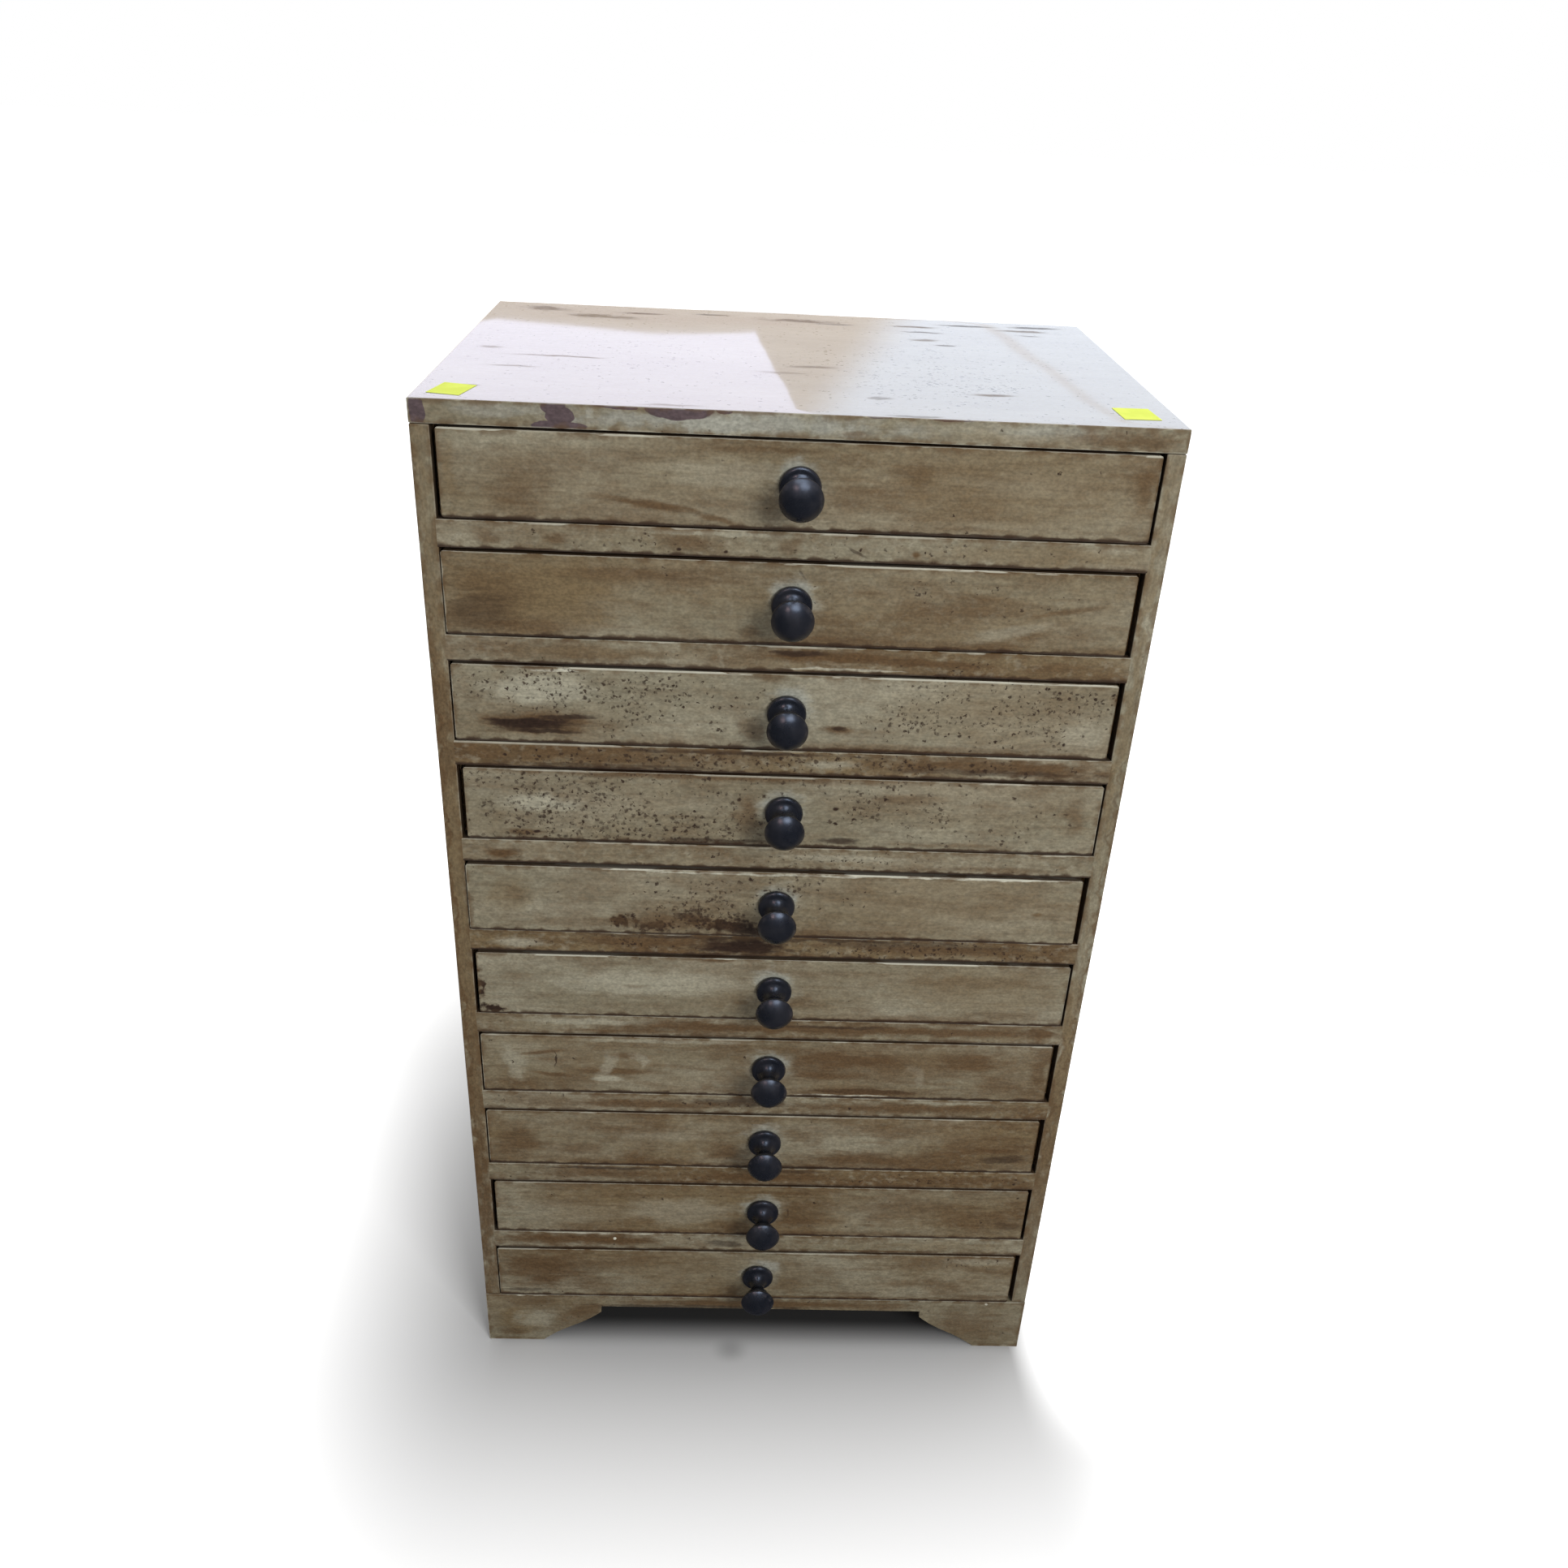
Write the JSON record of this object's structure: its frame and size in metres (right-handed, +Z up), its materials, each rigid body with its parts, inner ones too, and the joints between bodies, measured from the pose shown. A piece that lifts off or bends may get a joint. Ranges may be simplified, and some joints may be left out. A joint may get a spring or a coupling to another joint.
{
  "type": "collectors cabinet",
  "caption": "Tall painted wooden cabinet whose shallow drawers slide out on rails and runners, each with a turned black knob, on a low plinth with bracket feet.",
  "frame": {"origin": "on the floor, at the middle of the footprint box that holds the cabinet with its knobs", "axes": "+Z up, +Y towards the back, +X to the right as seen from the front; the drawers open towards -Y"},
  "size_m": [0.6, 0.4755, 1.05],
  "materials": {
    "painted_wood": "worn khaki paint with brown glaze, satin",
    "varnished_top": "pale scuffed varnish, semi-gloss",
    "bare_wood": "planed, unfinished",
    "plywood": "thin plywood, unfinished",
    "black_knob": "near-black satin",
    "screw_steel": "zinc-plated steel",
    "paper_note": "matte fluorescent paper, blank"
  },
  "bodies": {
    "carcass": {"top_board": "varnished_top", "left_side": "painted_wood", "right_side": "painted_wood", "back_panel": "plywood", "bottom_board": "bare_wood", "plinth_front": "painted_wood", "plinth_left": "painted_wood", "plinth_right": "painted_wood", "plinth_back": "painted_wood", "rail_1": "painted_wood", "rail_2": "painted_wood", "rail_3": "painted_wood", "rail_4": "painted_wood", "rail_5": "painted_wood", "rail_6": "painted_wood", "rail_7": "painted_wood", "rail_8": "painted_wood", "rail_9": "painted_wood", "left_runners": "bare_wood", "right_runners": "bare_wood"},
    "drawer_01": {"drawer_01_front": "painted_wood", "drawer_01_tray": "bare_wood", "drawer_01_bottom": "plywood", "drawer_01_knob": "black_knob"},
    "drawer_02": {"drawer_02_front": "painted_wood", "drawer_02_tray": "bare_wood", "drawer_02_bottom": "plywood", "drawer_02_knob": "black_knob"},
    "drawer_03": {"drawer_03_front": "painted_wood", "drawer_03_tray": "bare_wood", "drawer_03_bottom": "plywood", "drawer_03_knob": "black_knob"},
    "drawer_04": {"drawer_04_front": "painted_wood", "drawer_04_tray": "bare_wood", "drawer_04_bottom": "plywood", "drawer_04_knob": "black_knob"},
    "drawer_05": {"drawer_05_front": "painted_wood", "drawer_05_tray": "bare_wood", "drawer_05_bottom": "plywood", "drawer_05_knob": "black_knob"},
    "drawer_06": {"drawer_06_front": "painted_wood", "drawer_06_tray": "bare_wood", "drawer_06_bottom": "plywood", "drawer_06_knob": "black_knob"},
    "drawer_07": {"drawer_07_front": "painted_wood", "drawer_07_tray": "bare_wood", "drawer_07_bottom": "plywood", "drawer_07_knob": "black_knob"},
    "drawer_08": {"drawer_08_front": "painted_wood", "drawer_08_tray": "bare_wood", "drawer_08_bottom": "plywood", "drawer_08_knob": "black_knob"},
    "drawer_09": {"drawer_09_front": "painted_wood", "drawer_09_tray": "bare_wood", "drawer_09_bottom": "plywood", "drawer_09_knob": "black_knob"},
    "drawer_10": {"drawer_10_front": "painted_wood", "drawer_10_tray": "bare_wood", "drawer_10_bottom": "plywood", "drawer_10_knob": "black_knob"}
  },
  "joints": [
    {"name": "drawer_01_slide", "type": "slide", "parent": "carcass", "child": "drawer_01", "axis": [0, -1, 0], "range_m": [0, 0.3]},
    {"name": "drawer_02_slide", "type": "slide", "parent": "carcass", "child": "drawer_02", "axis": [0, -1, 0], "range_m": [0, 0.3]},
    {"name": "drawer_03_slide", "type": "slide", "parent": "carcass", "child": "drawer_03", "axis": [0, -1, 0], "range_m": [0, 0.3]},
    {"name": "drawer_04_slide", "type": "slide", "parent": "carcass", "child": "drawer_04", "axis": [0, -1, 0], "range_m": [0, 0.3]},
    {"name": "drawer_05_slide", "type": "slide", "parent": "carcass", "child": "drawer_05", "axis": [0, -1, 0], "range_m": [0, 0.3]},
    {"name": "drawer_06_slide", "type": "slide", "parent": "carcass", "child": "drawer_06", "axis": [0, -1, 0], "range_m": [0, 0.3]},
    {"name": "drawer_07_slide", "type": "slide", "parent": "carcass", "child": "drawer_07", "axis": [0, -1, 0], "range_m": [0, 0.3]},
    {"name": "drawer_08_slide", "type": "slide", "parent": "carcass", "child": "drawer_08", "axis": [0, -1, 0], "range_m": [0, 0.3]},
    {"name": "drawer_09_slide", "type": "slide", "parent": "carcass", "child": "drawer_09", "axis": [0, -1, 0], "range_m": [0, 0.3]},
    {"name": "drawer_10_slide", "type": "slide", "parent": "carcass", "child": "drawer_10", "axis": [0, -1, 0], "range_m": [0, 0.3]}
  ]
}
